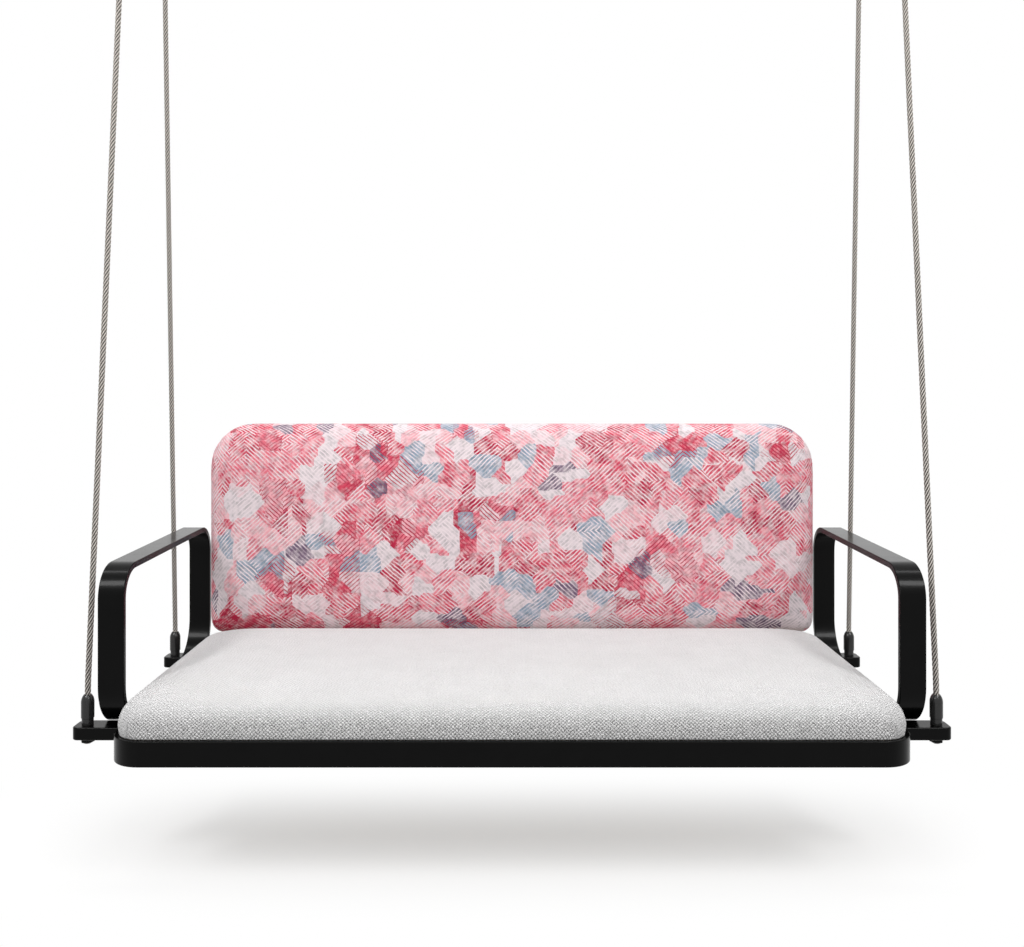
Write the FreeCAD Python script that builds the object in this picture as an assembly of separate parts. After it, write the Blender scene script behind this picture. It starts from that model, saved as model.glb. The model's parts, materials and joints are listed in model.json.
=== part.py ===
"""A bench swing seat that hangs on four wire ropes from two ceiling brackets.

Units are millimetres. x runs along the seat, y from its front to its back, z up. The origin lies in
the ceiling plane, midway between the two brackets and straight above the swing axis.
"""
import FreeCAD, Part
import math
import os

Vector = FreeCAD.Vector
X_AXIS = Vector(1, 0, 0)
Y_AXIS = Vector(0, 1, 0)
Z_AXIS = Vector(0, 0, 1)
SIDES = {"left": -1, "right": 1}
ENDS = ("front", "rear")

# General
cut_overrun = 1.0
soft_gap = 0.3
shaft_clearance = 0.05

# Seat rim: a flat steel band on edge
seat_width = 1200.0
seat_depth = 580.0
rim_thickness = 8.0
rim_corner_radius = 50.0
rim_edge_radius = 1.2
rim_below_beam = 8.0

# Cross beams: rectangular tube through the rim's sides, closed by solid ends
front_beam_inset = 109.5
rear_beam_inset = 61.5
beam_depth = 38.0
beam_height = 20.0
beam_wall = 2.5
beam_edge_radius = 2.0
beam_window_gap = 0.15
end_length = 44.0
end_spigot_length = 25.0
end_spigot_gap = 0.1
end_corner_radius = 10.0

# Seat deck: plywood on the beams, flush with the rim's top
deck_thickness = 10.0
deck_gap = 0.5
deck_screw_diameter = 4.0
deck_screw_length = 18.0
deck_screw_head_diameter = 8.0
deck_screw_head_height = 2.2
deck_screw_x_shares = (-0.38, -0.13, 0.13, 0.38)

# Rope terminals: swaged sockets with a stud, dome nuts below the beams
terminal_arm_gap = 13.0
terminal_inset = 18.6
neck_diameter = 18.0
neck_height = 10.0
body_diameter = 20.0
body_height = 25.0
body_edge_radius = 1.0
cone_height = 11.6
cone_bulge = 1.0
tip_diameter = 11.8
socket_depth = 20.0
stud_diameter = 12.0
stud_hole_gap = 0.15
washer_diameter = 24.0
washer_thickness = 2.0
nut_across_flats = 19.0
nut_height = 5.0
nut_dome_height = 4.0
nut_dome_wall = 1.5

# Arm loops: flat bar bent to a closed loop, with two welded tabs bolted to the rim
arm_width = 41.0
arm_thickness = 10.0
arm_height = 257.0
arm_rise = 8.0
arm_top_radius = 52.0
arm_sink = 7.7
arm_rear_overhang = 6.5
arm_standoff = 4.4
arm_edge_radius = 1.5
arm_gap = 0.3
arm_tab_inset = 95.0
arm_tab_width = 36.0
arm_tab_thickness = 6.0
arm_tab_margin = 5.0
arm_bolt_diameter = 6.0
arm_bolt_hole_gap = 0.2
arm_bolt_head_diameter = 11.0
arm_bolt_head_height = 3.4
arm_bolt_socket_width = 4.0
arm_bolt_socket_depth = 2.0
arm_nut_across_flats = 10.0
arm_nut_height = 5.0
arm_bolt_tail = 1.5

# Cushions: foam in a sewn cover
cover_thickness = 2.0
seat_cushion_height = 59.0
seat_cushion_inset = 6.0
seat_cushion_radius = 46.0
seat_cushion_gap = 4.0
seat_crown_run = 150.0
seat_rear_run = 48.0
seat_profile_shares = (
    (0.00, 0.012),
    (0.13, 0.004),
    (0.25, 0.000),
    (0.44, 0.008),
    (0.60, 0.030),
    (0.73, 0.067),
    (0.82, 0.120),
    (0.88, 0.210),
    (0.93, 0.380),
    (0.97, 0.660),
    (1.00, 1.000),
)
back_side_gap = 1.0
back_height = 415.0
back_thickness = 74.0
back_lift = 34.0
back_top_radius = 85.0
back_bottom_radius = 26.0
back_crown_run = 120.0
back_profile_shares = (
    (0.000, 1.000),
    (0.035, 0.600),
    (0.090, 0.300),
    (0.170, 0.130),
    (0.280, 0.045),
    (0.420, 0.008),
    (0.520, 0.000),
    (0.660, 0.008),
    (0.820, 0.040),
    (0.930, 0.080),
    (1.000, 0.130),
)

# Back support: a plywood board in the cushion on two flat-bar uprights
board_thickness = 9.0
board_gap = 0.3
upright_spacing = 700.0
upright_width = 40.0
upright_thickness = 8.0
upright_height = 300.0
upright_corner_radius = 10.0
upright_foot_gap = 2.0
upright_bolt_diameter = 8.0
upright_bolt_hole_gap = 0.2
upright_bolt_spacing = 20.0
upright_bolt_head_across_flats = 13.0
upright_bolt_head_height = 5.3
upright_bolt_tail = 2.0
upright_nut_height = 6.5
board_bolt_diameter = 6.0
board_bolt_hole_gap = 0.2
board_bolt_head_diameter = 11.0
board_bolt_head_height = 3.4
board_bolt_end_gap = 1.0
board_bolt_socket_width = 4.0
board_bolt_socket_depth = 2.0
board_bolt_height_shares = (0.30, 0.85)

# Ropes and the forks swaged on their upper ends
rope_diameter = 9.5
rope_rise = 1330.0
rope_bend_rise = 12.0
rope_arc_share = 0.35
fork_diameter = 24.0
fork_side_gap = 0.5
fork_cheek = 5.5
fork_reach = 26.0
fork_crown = 8.0
fork_taper = 5.0
fork_barrel_diameter = 17.0
fork_barrel_length = 32.0
fork_socket_depth = 26.0
fork_pin_diameter = 10.0
fork_pin_gap = 0.2
fork_pin_head_diameter = 15.0
fork_pin_head_height = 3.0
fork_pin_tail = 4.0
clip_thickness = 1.2
clip_diameter = 15.0
clip_groove_depth = 0.8
clip_mouth = 6.0
clip_gap = 0.05

# Hanger plates: each takes two forks and swings on a bush
hanger_spacing = 1324.0
pivot_back = 353.6
hanger_front_reach = 113.2
hanger_rear_reach = 84.3
hanger_drop = 70.0
hanger_thickness = 10.0
hanger_boss_radius = 30.0
hanger_corner_radius = 16.0
hanger_edge_radius = 1.0
bush_diameter = 26.0
bush_side = 4.0
bush_end_gap = 0.5

# Ceiling brackets: a plate with two bolt holes and two ears, a pivot pin and its nut
pivot_diameter = 16.0
pivot_head_across_flats = 24.0
pivot_head_height = 8.0
pivot_nut_height = 12.0
pivot_pin_tail = 3.0
ceiling_clearance = 12.0
plate_length = 134.0
plate_width = 72.0
plate_thickness = 8.0
plate_corner_radius = 12.0
plate_edge_radius = 1.0
plate_hole_diameter = 11.0
plate_hole_spacing = 92.0
ear_thickness = 8.0
ear_radius = 22.0
ear_root_width = 56.0
ear_root_radius = 4.0

# Levels, from the ceiling down
pivot_z = -(plate_thickness + hanger_boss_radius + ceiling_clearance)
fork_pin_z = pivot_z - hanger_drop
tip_z = fork_pin_z - rope_rise
beam_top = tip_z - cone_height - body_height - neck_height
beam_bottom = beam_top - beam_height
rim_top = beam_top + deck_thickness
rim_bottom = beam_bottom - rim_below_beam
arm_bottom = beam_top + arm_gap - arm_sink

# Places along the seat's depth, from the front back
rim_front = -pivot_back
rim_rear = rim_front + seat_depth
beam_y = {"front": rim_front + front_beam_inset, "rear": rim_rear - rear_beam_inset}
arm_front = beam_y["front"] - beam_depth / 2
arm_rear = beam_y["rear"] + beam_depth / 2 + arm_rear_overhang
fork_pin_y = {"front": -hanger_front_reach, "rear": hanger_rear_reach}
back_rear = rim_rear - rim_thickness - upright_thickness
back_front = back_rear - back_thickness

# Places along the seat's length, from the middle out
rim_side = seat_width / 2
arm_inner = rim_side + arm_standoff
arm_outer = arm_inner + arm_width
terminal_x = arm_outer + terminal_arm_gap + body_diameter / 2
beam_end = terminal_x + terminal_inset
hanger_x = hanger_spacing / 2

fork_gap = hanger_thickness + 2 * fork_side_gap
ear_gap = hanger_thickness + 2 * bush_side + 2 * bush_end_gap


# Shapes that several pieces use

def block(low, high):
    """Box between two opposite corners."""
    size = high - low
    return Part.makeBox(size.x, size.y, size.z, low)


def rod(start, axis, diameter, length):
    """Round bar from a point along an axis."""
    return Part.makeCylinder(diameter / 2, length, start, axis)


def domed_cone(base, low_radius, high_radius, height, bulge):
    """Upright cone whose side is bowed outward by a bulge."""
    low = Vector(low_radius, 0, 0)
    high = Vector(high_radius, 0, height)
    outward = Vector(height, 0, low_radius - high_radius).normalize()
    middle = (low + high) * 0.5 + outward * bulge
    foot = Vector(0, 0, 0)
    head = Vector(0, 0, height)
    profile = Part.Wire([
        Part.LineSegment(foot, low).toShape(),
        Part.Arc(low, middle, high).toShape(),
        Part.LineSegment(high, head).toShape(),
        Part.LineSegment(head, foot).toShape(),
    ])
    return Part.Face(profile).revolve(foot, Z_AXIS, 360).translated(base)


def hexagon(start, axis, across_flats, length):
    """Six-sided bar from a point along an axis."""
    radius = across_flats / 2 / math.cos(math.pi / 6)
    turns = [math.pi / 3 * step for step in range(7)]
    corners = [Vector(radius * math.cos(turn), radius * math.sin(turn), 0) for turn in turns]
    prism = Part.Face(Part.makePolygon(corners)).extrude(Vector(0, 0, length))
    prism.Placement = FreeCAD.Placement(start, FreeCAD.Rotation(Z_AXIS, axis))
    return prism


def rounded_wire(corners, radii):
    """Closed wire through the corners, each rounded to its radius."""
    starts = []
    middles = []
    ends = []
    for index, corner in enumerate(corners):
        before = (corners[index - 1] - corner).normalize()
        after = (corners[(index + 1) % len(corners)] - corner).normalize()
        half_angle = before.getAngle(after) / 2
        inward = (before + after).normalize()
        reach = radii[index] / math.tan(half_angle)
        starts.append(corner + before * reach)
        middles.append(corner + inward * (radii[index] / math.sin(half_angle) - radii[index]))
        ends.append(corner + after * reach)
    edges = []
    for index in range(len(corners)):
        edges.append(Part.Arc(starts[index], middles[index], ends[index]).toShape())
        following = starts[(index + 1) % len(corners)]
        edges.append(Part.LineSegment(ends[index], following).toShape())
    return Part.Wire(edges)


def flat_rectangle(x_low, x_high, y_low, y_high, z, radii):
    """Rounded rectangle at one height, from the front left corner round."""
    corners = [
        Vector(x_low, y_low, z),
        Vector(x_high, y_low, z),
        Vector(x_high, y_high, z),
        Vector(x_low, y_high, z),
    ]
    return rounded_wire(corners, radii)


def upright_rectangle(x_low, x_high, z_low, z_high, y, radii):
    """Rounded rectangle that faces the front, from the lower left corner round."""
    corners = [
        Vector(x_low, y, z_low),
        Vector(x_high, y, z_low),
        Vector(x_high, y, z_high),
        Vector(x_low, y, z_high),
    ]
    return rounded_wire(corners, radii)


def wire_round_circles(centres, radii):
    """Wire drawn tight round circles that face x, listed anticlockwise as seen from plus x."""
    outward = []
    for index, centre in enumerate(centres):
        along = centres[(index + 1) % len(centres)] - centre
        distance = along.Length
        along.normalize()
        side = Vector(0, along.z, -along.y)
        sine = (radii[index] - radii[(index + 1) % len(centres)]) / distance
        outward.append(side * math.sqrt(1 - sine * sine) + along * sine)
    edges = []
    for index, centre in enumerate(centres):
        following = (index + 1) % len(centres)
        first = centre + outward[index - 1] * radii[index]
        middle = centre + (outward[index - 1] + outward[index]).normalize() * radii[index]
        last = centre + outward[index] * radii[index]
        edges.append(Part.Arc(first, middle, last).toShape())
        edges.append(Part.LineSegment(last, centres[following] + outward[index] * radii[following]).toShape())
    return Part.Wire(edges)


def filled(wire, height):
    """Solid that a flat wire sweeps along a vector."""
    return Part.Face(wire).extrude(height)


def edges_in_plane(shape, axis, offset):
    """Edges whose every point lies at one distance along an axis."""
    tolerance = 1e-6 * shape.BoundBox.DiagonalLength
    found = []
    for edge in shape.Edges:
        box = edge.BoundBox
        low = Vector(box.XMin, box.YMin, box.ZMin) * axis
        high = Vector(box.XMax, box.YMax, box.ZMax) * axis
        if abs(low - offset) < tolerance and abs(high - offset) < tolerance:
            found.append(edge)
    return found


def socket_bolt(seat, axis, diameter, length, head_diameter, head_height, socket_width, socket_depth):
    """Round-headed bolt with a hex socket; its head stands on the seat, its shank runs along the axis."""
    head = rod(seat, axis * -1, head_diameter, head_height)
    top = edges_in_plane(head, axis, (seat - axis * head_height) * axis)
    head = head.makeFillet(head_height / 2, top)
    shank = rod(seat, axis, diameter, length)
    socket = hexagon(seat - axis * head_height, axis, socket_width, socket_depth)
    return head.fuse(shank).cut(socket).removeSplitter()


def hex_bolt(seat, axis, diameter, length, head_width, head_height):
    """Six-sided bolt; its head stands on the seat, its shank runs along the axis."""
    head = hexagon(seat - axis * head_height, axis, head_width, head_height)
    return head.fuse(rod(seat, axis, diameter, length)).removeSplitter()


def hex_nut(seat, axis, across_flats, height, bolt_diameter):
    """Plain nut that stands on its seat."""
    hole = rod(seat, axis, bolt_diameter + 2 * shaft_clearance, height)
    return hexagon(seat, axis, across_flats, height).cut(hole)


def mirrored(shape):
    """The same piece on the other side of the seat's middle."""
    return shape.mirror(Vector(0, 0, 0), X_AXIS)


def on_both_sides(shape):
    """A piece and its mirror image, as separate solids."""
    return [shape, mirrored(shape)]


# Seat rim, beams and deck

def beam_box(half_length, grow):
    """Box along a beam's full section, centred on y zero, grown on every long side."""
    half_depth = beam_depth / 2 + grow
    low = Vector(-half_length, -half_depth, beam_bottom - grow)
    high = Vector(half_length, half_depth, beam_top + grow)
    return block(low, high)


def moved_to_beam(shape, end):
    """Shape made on y zero, moved to the front or rear beam."""
    return shape.translated(Vector(0, beam_y[end], 0))


def arm_tab_centres():
    """Places along y of the two tabs under each arm loop."""
    return (arm_front + arm_tab_inset, arm_rear - arm_tab_inset)


def arm_bolt_z():
    """Height of the bolts through the arm tabs."""
    return (arm_bottom + rim_bottom + arm_tab_margin) / 2


def upright_bolt_places():
    """Places in x of the bolts through the uprights' feet, on the right side."""
    middle = upright_spacing / 2
    return (middle - upright_bolt_spacing / 2, middle + upright_bolt_spacing / 2)


def upright_bolt_z():
    """Height of the bolts through the uprights' feet, midway between the deck and the rim's bottom."""
    return (beam_top + rim_bottom) / 2


def rim_ring(inset, radius):
    """Plan of the rim's outside, drawn in by an inset, at the rim's bottom."""
    low = rim_front + inset
    high = rim_rear - inset
    return flat_rectangle(inset - rim_side, rim_side - inset, low, high, rim_bottom, [radius] * 4)


def make_seat_rim():
    height = Vector(0, 0, rim_top - rim_bottom)
    outside = filled(rim_ring(0, rim_corner_radius), height)
    inside = filled(rim_ring(rim_thickness, rim_corner_radius - rim_thickness), height)
    rim = outside.cut(inside)
    borders = edges_in_plane(rim, Z_AXIS, rim_top) + edges_in_plane(rim, Z_AXIS, rim_bottom)
    rim = rim.makeFillet(rim_edge_radius, borders)
    for end in ENDS:
        rim = rim.cut(moved_to_beam(beam_box(rim_side + cut_overrun, beam_window_gap), end))
    arm_hole = arm_bolt_diameter + 2 * arm_bolt_hole_gap
    for y in arm_tab_centres():
        start = Vector(rim_side - rim_thickness - cut_overrun, y, arm_bolt_z())
        hole = rod(start, X_AXIS, arm_hole, rim_thickness + 2 * cut_overrun)
        rim = rim.cut(on_both_sides(hole))
    upright_hole = upright_bolt_diameter + 2 * upright_bolt_hole_gap
    for x in upright_bolt_places():
        start = Vector(x, rim_rear - rim_thickness - cut_overrun, upright_bolt_z())
        hole = rod(start, Y_AXIS, upright_hole, rim_thickness + 2 * cut_overrun)
        rim = rim.cut(on_both_sides(hole))
    return rim


def deck_screw_places():
    """Places in x of the deck screws along each beam."""
    return [seat_width * share for share in deck_screw_x_shares]


def make_beam(end):
    half_length = beam_end - end_length
    tube = beam_box(half_length, 0)
    long_edges = [edge for edge in tube.Edges if edge.BoundBox.XLength > half_length]
    tube = tube.makeFillet(beam_edge_radius, long_edges)
    tube = moved_to_beam(tube.cut(beam_box(half_length + cut_overrun, -beam_wall)), end)
    hole_diameter = deck_screw_diameter + 2 * shaft_clearance
    for x in deck_screw_places():
        start = Vector(x, beam_y[end], beam_top - beam_wall - cut_overrun)
        tube = tube.cut(rod(start, Z_AXIS, hole_diameter, beam_wall + 2 * cut_overrun))
    return tube


def make_beam_end(end):
    """Solid end of a beam on the right side, with its spigot and stud hole."""
    seam = beam_end - end_length
    half_depth = beam_depth / 2
    corners = [
        Vector(seam, -half_depth, beam_bottom),
        Vector(beam_end, -half_depth, beam_bottom),
        Vector(beam_end, half_depth, beam_bottom),
        Vector(seam, half_depth, beam_bottom),
    ]
    square_end = filled(Part.makePolygon(corners + corners[:1]), Vector(0, 0, beam_height))
    upright_edges = [
        edge for edge in square_end.Edges
        if edge.BoundBox.ZLength > beam_height / 2 and edge.CenterOfMass.x > terminal_x
    ]
    body = square_end.makeFillet(end_corner_radius, upright_edges)
    borders = edges_in_plane(body, Z_AXIS, beam_top) + edges_in_plane(body, Z_AXIS, beam_bottom)
    outer_borders = [edge for edge in borders if edge.BoundBox.XMax > seam + end_length / 4]
    body = body.makeFillet(beam_edge_radius, outer_borders)
    inset = beam_wall + end_spigot_gap
    spigot = block(
        Vector(seam - end_spigot_length, inset - half_depth, beam_bottom + inset),
        Vector(seam, half_depth - inset, beam_top - inset),
    )
    hole_start = Vector(terminal_x, 0, beam_bottom - cut_overrun)
    hole = rod(hole_start, Z_AXIS, stud_diameter + 2 * stud_hole_gap, beam_height + 2 * cut_overrun)
    return moved_to_beam(body.fuse(spigot).cut(hole).removeSplitter(), end)


def make_deck():
    side = rim_side - rim_thickness - deck_gap
    radius = rim_corner_radius - rim_thickness
    front = rim_front + rim_thickness + deck_gap
    outline = flat_rectangle(-side, side, front, back_rear - deck_gap, beam_top, [radius] * 4)
    deck = filled(outline, Vector(0, 0, deck_thickness))
    for screw in deck_screws(shaft_clearance):
        deck = deck.cut(screw)
    return deck


def deck_screws(grow):
    """Countersunk screws through the deck into both beams, grown all round for their holes."""
    screws = []
    shank = deck_screw_diameter + 2 * grow
    head = deck_screw_head_diameter + 2 * grow
    for end in ENDS:
        for x in deck_screw_places():
            top = Vector(x, beam_y[end], rim_top)
            cone_start = top - Z_AXIS * deck_screw_head_height
            cone = Part.makeCone(shank / 2, head / 2, deck_screw_head_height, cone_start, Z_AXIS)
            screws.append(cone.fuse(rod(top, Z_AXIS * -1, shank, deck_screw_length)).removeSplitter())
    return screws


# Rope terminals and their nuts

def make_terminal(x, y):
    """Swaged rope socket with its stud, standing on a beam end."""
    base = Vector(x, y, beam_top)
    neck = rod(base, Z_AXIS, neck_diameter, neck_height)
    body_base = base + Z_AXIS * neck_height
    body = rod(body_base, Z_AXIS, body_diameter, body_height)
    body = body.makeFillet(body_edge_radius, edges_in_plane(body, Z_AXIS, body_base.z))
    cone_base = body_base + Z_AXIS * body_height
    nose = domed_cone(cone_base, body_diameter / 2, tip_diameter / 2, cone_height, cone_bulge)
    stud_length = beam_height + washer_thickness + nut_height + nut_dome_height - nut_dome_wall
    stud = rod(base, Z_AXIS * -1, stud_diameter, stud_length - shaft_clearance)
    socket = rod(
        Vector(x, y, tip_z - socket_depth),
        Z_AXIS,
        rope_diameter + 2 * shaft_clearance,
        socket_depth + cut_overrun,
    )
    return neck.fuse([body, nose, stud]).cut(socket).removeSplitter()


def make_terminal_washer(x, y):
    seat = Vector(x, y, beam_bottom)
    disc = rod(seat, Z_AXIS * -1, washer_diameter, washer_thickness)
    return disc.cut(rod(seat, Z_AXIS * -1, stud_diameter + 2 * stud_hole_gap, washer_thickness))


def make_terminal_nut(x, y):
    """Dome nut under a beam end."""
    seat = Vector(x, y, beam_bottom - washer_thickness)
    prism = hexagon(seat, Z_AXIS * -1, nut_across_flats, nut_height)
    dome_seat = seat - Z_AXIS * nut_height
    half_width = nut_across_flats / 2
    dome_radius = (half_width ** 2 + nut_dome_height ** 2) / (2 * nut_dome_height)
    ball = Part.makeSphere(dome_radius, dome_seat + Z_AXIS * (dome_radius - nut_dome_height))
    dome = ball.common(rod(dome_seat, Z_AXIS * -1, nut_across_flats, nut_dome_height + cut_overrun))
    depth = nut_height + nut_dome_height - nut_dome_wall
    thread = rod(seat, Z_AXIS * -1, stud_diameter + 2 * shaft_clearance, depth)
    return prism.fuse(dome).cut(thread).removeSplitter()


# Arm loops

def arm_bottom_radius(overlap):
    """Lower bend that clears a beam's inner edge, where the leg and the beam overlap by a depth."""
    return overlap + arm_sink + math.sqrt(2 * overlap * arm_sink)


def arm_loop_wire(inset):
    """Side view of the right arm's loop, drawn in all round, at the arm's inner face."""
    slope = arm_rise / (arm_rear - arm_front)
    front = arm_front + inset
    rear = arm_rear - inset
    crest = arm_bottom + arm_height - inset * math.hypot(1, slope)
    corners = [
        Vector(arm_inner, front, arm_bottom + inset),
        Vector(arm_inner, rear, arm_bottom + inset),
        Vector(arm_inner, rear, crest + slope * (rear - arm_front)),
        Vector(arm_inner, front, crest + slope * (front - arm_front)),
    ]
    front_radius = arm_bottom_radius(beam_depth) - inset
    rear_radius = arm_bottom_radius(beam_depth + arm_rear_overhang) - inset
    top_radius = arm_top_radius - inset
    return rounded_wire(corners, [front_radius, rear_radius, top_radius, top_radius])


def make_arm():
    """Right arm: a closed loop of flat bar with two tabs under its lower run."""
    across = Vector(arm_width, 0, 0)
    loop = filled(arm_loop_wire(0), across).cut(filled(arm_loop_wire(arm_thickness), across))
    borders = edges_in_plane(loop, X_AXIS, arm_inner) + edges_in_plane(loop, X_AXIS, arm_outer)
    loop = loop.makeFillet(arm_edge_radius, borders)
    hole_diameter = arm_bolt_diameter + 2 * arm_bolt_hole_gap
    for y in arm_tab_centres():
        tab = block(
            Vector(rim_side + arm_gap, y - arm_tab_width / 2, rim_bottom + arm_tab_margin),
            Vector(arm_inner + arm_tab_thickness, y + arm_tab_width / 2, arm_bottom + arm_thickness / 2),
        )
        hole_length = arm_standoff + arm_tab_thickness + cut_overrun
        hole = rod(Vector(rim_side, y, arm_bolt_z()), X_AXIS, hole_diameter, hole_length)
        loop = loop.fuse(tab).cut(hole)
    return loop.removeSplitter()


def arm_bolts():
    """Bolts from outside through the right arm's tabs and the rim."""
    length = arm_standoff + arm_tab_thickness + rim_thickness + arm_nut_height + arm_bolt_tail
    bolts = []
    for y in arm_tab_centres():
        seat = Vector(arm_inner + arm_tab_thickness, y, arm_bolt_z())
        bolts.append(socket_bolt(
            seat, X_AXIS * -1, arm_bolt_diameter, length, arm_bolt_head_diameter, arm_bolt_head_height,
            arm_bolt_socket_width, arm_bolt_socket_depth,
        ))
    return bolts


def arm_nuts():
    """Nuts on the right arm's bolts, inside the rim."""
    nuts = []
    for y in arm_tab_centres():
        seat = Vector(rim_side - rim_thickness, y, arm_bolt_z())
        nuts.append(hex_nut(seat, X_AXIS * -1, arm_nut_across_flats, arm_nut_height, arm_bolt_diameter))
    return nuts


# Cushions

def seat_cushion_form(inset):
    """Crowned seat cushion, drawn in at its foot, all round smaller by an inset except below."""
    half_width = rim_side - seat_cushion_inset - inset
    front = rim_front + seat_cushion_inset + inset
    rear = back_front - seat_cushion_gap - inset
    bottom = rim_top + soft_gap
    height = seat_cushion_height - soft_gap - inset
    depth = rear - front
    sections = []
    for rise_share, draw_share in seat_profile_shares:
        draw = seat_crown_run * draw_share
        rear_draw = seat_rear_run * draw_share
        radius = (seat_cushion_radius - inset) * (depth - draw - rear_draw) / depth
        sections.append(flat_rectangle(
            draw - half_width, half_width - draw, front + draw, rear - rear_draw,
            bottom + height * rise_share, [radius] * 4,
        ))
    return Part.makeLoft(sections, True, True)


def back_cushion_outline(y, inset, draw):
    """Outline of the back cushion at one depth, drawn in all round."""
    half_width = rim_side - back_side_gap - inset - draw
    low = rim_top + back_lift + inset + draw
    high = rim_top + back_lift + back_height - inset - draw
    share = (high - low) / back_height
    lower = back_bottom_radius * share
    upper = back_top_radius * share
    return upright_rectangle(-half_width, half_width, low, high, y, [lower, lower, upper, upper])


def back_cushion_form(inset):
    """Crowned back cushion, all round smaller by an inset except behind."""
    front = back_front + inset
    sections = []
    for depth_share, draw_share in back_profile_shares:
        y = front + (back_rear - front) * depth_share
        sections.append(back_cushion_outline(y, inset, back_crown_run * draw_share))
    return Part.makeLoft(sections, True, True)


def make_seat_cover():
    return seat_cushion_form(0).cut(seat_cushion_form(cover_thickness))


def make_seat_foam():
    return seat_cushion_form(cover_thickness + soft_gap)


def make_back_cover():
    return back_cushion_form(0).cut(back_cushion_form(cover_thickness))


def make_back_foam():
    foam = back_cushion_form(cover_thickness + soft_gap)
    box = foam.BoundBox
    behind = block(
        Vector(box.XMin - cut_overrun, back_rear - board_thickness - soft_gap, box.ZMin - cut_overrun),
        Vector(box.XMax + cut_overrun, back_rear + cut_overrun, box.ZMax + cut_overrun),
    )
    return foam.cut(behind)


# Back board and uprights

def board_bolt_places():
    """Bolts between an upright and the board, on the right side."""
    foot = rim_top + back_lift
    x = upright_spacing / 2
    return [Vector(x, back_rear, foot + upright_height * share) for share in board_bolt_height_shares]


def make_back_board():
    rear_draw = back_crown_run * back_profile_shares[-1][1]
    outline = back_cushion_outline(back_rear, cover_thickness + board_gap, rear_draw)
    board = filled(outline, Y_AXIS * -board_thickness)
    hole_diameter = board_bolt_diameter + 2 * board_bolt_hole_gap
    for place in board_bolt_places():
        hole = rod(place + Y_AXIS * cut_overrun, Y_AXIS * -1, hole_diameter, board_thickness + cut_overrun)
        board = board.cut(on_both_sides(hole))
    return board


def make_upright():
    """Right upright: flat bar from inside the rim's rear to behind the back board."""
    middle = upright_spacing / 2
    half = upright_width / 2
    radii = [upright_corner_radius] * 4
    top = rim_top + back_lift + upright_height
    outline = upright_rectangle(
        middle - half, middle + half, rim_bottom + upright_foot_gap, top, back_rear, radii,
    )
    bar = filled(outline, Y_AXIS * upright_thickness)
    foot_hole = upright_bolt_diameter + 2 * upright_bolt_hole_gap
    board_hole = board_bolt_diameter + 2 * board_bolt_hole_gap
    reach = upright_thickness + 2 * cut_overrun
    for x in upright_bolt_places():
        bar = bar.cut(rod(Vector(x, back_rear - cut_overrun, upright_bolt_z()), Y_AXIS, foot_hole, reach))
    for place in board_bolt_places():
        bar = bar.cut(rod(place - Y_AXIS * cut_overrun, Y_AXIS, board_hole, reach))
    return bar


def upright_bolts():
    """Bolts from behind through the rim and the right upright's foot."""
    length = rim_thickness + upright_thickness + upright_nut_height + upright_bolt_tail
    bolts = []
    for x in upright_bolt_places():
        seat = Vector(x, rim_rear, upright_bolt_z())
        bolts.append(hex_bolt(
            seat, Y_AXIS * -1, upright_bolt_diameter, length,
            upright_bolt_head_across_flats, upright_bolt_head_height,
        ))
    return bolts


def upright_nuts():
    """Nuts in front of the right upright's foot."""
    nuts = []
    for x in upright_bolt_places():
        seat = Vector(x, back_rear, upright_bolt_z())
        nuts.append(hex_nut(
            seat, Y_AXIS * -1, upright_bolt_head_across_flats, upright_nut_height, upright_bolt_diameter,
        ))
    return nuts


def board_bolts():
    """Bolts from behind through the right upright into the board."""
    length = upright_thickness + board_thickness - board_bolt_end_gap
    bolts = []
    for place in board_bolt_places():
        seat = place + Y_AXIS * upright_thickness
        bolts.append(socket_bolt(
            seat, Y_AXIS * -1, board_bolt_diameter, length, board_bolt_head_diameter,
            board_bolt_head_height, board_bolt_socket_width, board_bolt_socket_depth,
        ))
    return bolts


# Ropes and forks

def rope_run(side, end):
    """Straight run of a rope: from the bend above its terminal to its fork's pin."""
    bend = Vector(terminal_x * side, beam_y[end], tip_z + rope_bend_rise)
    pin = Vector(hanger_x * side, fork_pin_y[end], fork_pin_z)
    return bend, pin


def make_rope(side, end):
    """Taut rope from its terminal's socket into its fork's socket."""
    bend, pin = rope_run(side, end)
    foot = bend - Z_AXIS * (rope_bend_rise + socket_depth)
    rise = (pin - bend).normalize()
    mouth_drop = fork_reach + fork_crown + fork_taper + fork_barrel_length
    head = pin - rise * (mouth_drop - fork_socket_depth)
    turn = Z_AXIS.getAngle(rise)
    reach = rope_arc_share * (bend - foot).Length
    radius = reach / math.tan(turn / 2)
    arc_start = bend - Z_AXIS * reach
    arc_end = bend + rise * reach
    inward = (rise - Z_AXIS).normalize()
    arc_middle = bend + inward * (radius / math.cos(turn / 2) - radius)
    path = Part.Wire([
        Part.LineSegment(foot, arc_start).toShape(),
        Part.Arc(arc_start, arc_middle, arc_end).toShape(),
        Part.LineSegment(arc_end, head).toShape(),
    ])
    section = Part.Wire(Part.makeCircle(rope_diameter / 2, foot, Z_AXIS))
    rope = path.makePipeShell([section], True, False)
    plain_volume = math.pi * (rope_diameter / 2) ** 2 * path.Length
    print(
        "rope %d %s: length %.1f, bend radius %.0f, volume share %.4f" %
        (side, end, path.Length, radius, rope.Volume / plain_volume),
        [tuple(round(value, 2) for value in point) for point in (foot, bend, head, pin)],
    )
    return rope


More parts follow.
